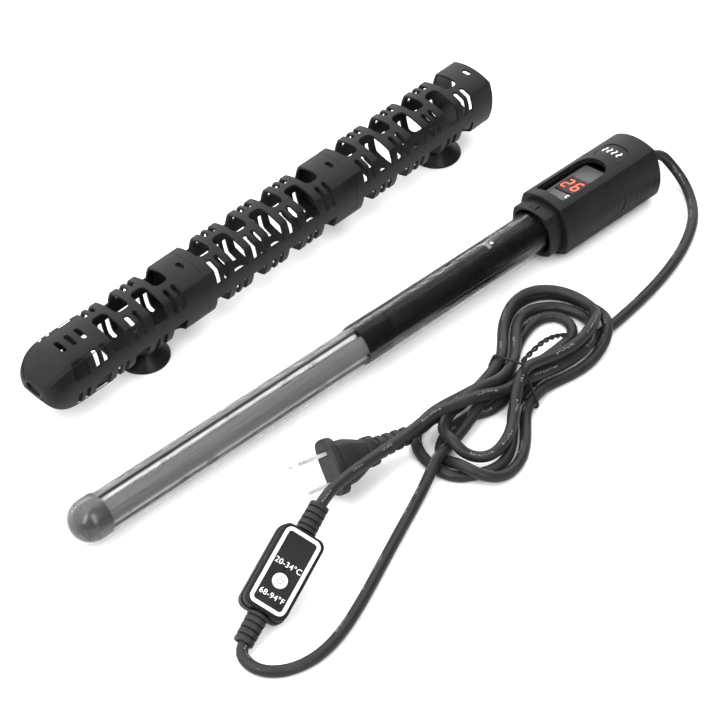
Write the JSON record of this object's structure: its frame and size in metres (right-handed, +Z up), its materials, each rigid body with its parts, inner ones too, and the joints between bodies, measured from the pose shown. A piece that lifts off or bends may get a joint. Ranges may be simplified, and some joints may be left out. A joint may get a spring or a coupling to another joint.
{
  "type": "submersible aquarium heater",
  "caption": "Glass-tube aquarium heater with a display head, slotted guard on suction cups, in-line controller, bundled cord and two-blade plug.",
  "frame": {"origin": "middle of the flat facet on the underside of the heater head, on the surface the set lies on", "axes": "+X along the heater from its glass tip to its head, +Y from the heater to the guard lying beside it, +Z up from the surface"},
  "size_m": [0.3594, 0.2091, 0.0378],
  "materials": {
    "black_sleeve": "glossy black plastic film",
    "blade_nickel": "nickel-plated brass blade",
    "board_green": "green circuit board",
    "button_white": "white satin plastic",
    "clear_glass": "clear quartz glass, polished",
    "coil_wire": "bare close-wound resistance wire",
    "component_blue": "blue moulded component case",
    "cord_vinyl": "matt black vinyl",
    "cup_rubber": "black rubber with a slight sheen",
    "display_red": "dark red tinted epoxy, lit digits",
    "grey_ceramic": "unglazed mid-grey ceramic",
    "grey_silicone": "dark grey silicone rubber",
    "guard_plastic": "near-black satin moulded plastic",
    "head_plastic": "near-black satin moulded plastic",
    "label_print": "glossy black printed film",
    "mask_grey": "silver-grey plate",
    "tie_black": "black plastic-coated wire",
    "window_plastic": "clear glossy plastic"
  },
  "bodies": {
    "heater": {"boot_heater_side": "cord_vinyl", "boot_plug_side": "cord_vinyl", "cable_gland": "cup_rubber", "controller_board": "board_green", "controller_label": "label_print", "controller_lower_shell": "head_plastic", "controller_upper_shell": "head_plastic", "cord_heater": "cord_vinyl", "cord_plug": "cord_vinyl", "display_board": "board_green", "display_mask": "mask_grey", "display_module": "display_red", "display_window": "window_plastic", "electronics_sleeve": "black_sleeve", "element_holder": "black_sleeve", "end_bumper": "grey_silicone", "filter_capacitor": "black_sleeve", "glass_tube": "clear_glass", "head_end_plug": "head_plastic", "head_housing": "head_plastic", "heater_core": "grey_ceramic", "heating_coil_front": "coil_wire", "heating_coil_rear": "coil_wire", "live_lead": "cord_vinyl", "main_board": "board_green", "neutral_lead": "cord_vinyl", "plug_blade_left": "blade_nickel", "plug_blade_right": "blade_nickel", "plug_body": "cord_vinyl", "power_relay": "component_blue", "rating_panel": "label_print", "tact_switch": "mask_grey", "temperature_sensor": "button_white", "thermal_cutout": "blade_nickel", "tube_seal": "grey_silicone", "twist_tie": "tie_black"},
    "guard_lower": {"guard_lower_section": "guard_plastic"},
    "guard_middle": {"guard_middle_section": "guard_plastic"},
    "guard_upper": {"guard_upper_section": "guard_plastic"},
    "cup_lower": {"suction_cup_lower": "cup_rubber"},
    "cup_upper": {"suction_cup_upper": "cup_rubber"},
    "button": {"set_button": "button_white"}
  },
  "joints": [
    {"name": "guard_slide", "type": "slide", "parent": "heater", "child": "guard_lower", "axis": [0.9981, 0.061, 0], "range_m": [-0.315, 0]},
    {"name": "middle_section_pull", "type": "slide", "parent": "guard_lower", "child": "guard_middle", "axis": [0.9981, 0.061, 0], "range_m": [0, 0.012]},
    {"name": "upper_section_pull", "type": "slide", "parent": "guard_middle", "child": "guard_upper", "axis": [0.9981, 0.061, 0], "range_m": [0, 0.012]},
    {"name": "cup_lower_spin", "type": "hinge", "parent": "guard_lower", "child": "cup_lower", "pos_m": [-0.21349, 0.06938, 0], "axis": [0, 0, 1], "continuous": true},
    {"name": "cup_upper_spin", "type": "hinge", "parent": "guard_upper", "child": "cup_upper", "pos_m": [-0.02055, 0.08118, 0], "axis": [0, 0, 1], "continuous": true},
    {"name": "set_button_press", "type": "slide", "parent": "heater", "child": "button", "axis": [0.1025, 0.5455, -0.8318], "range_m": [0, 0.0008], "stiffness_N_per_m": 400}
  ]
}
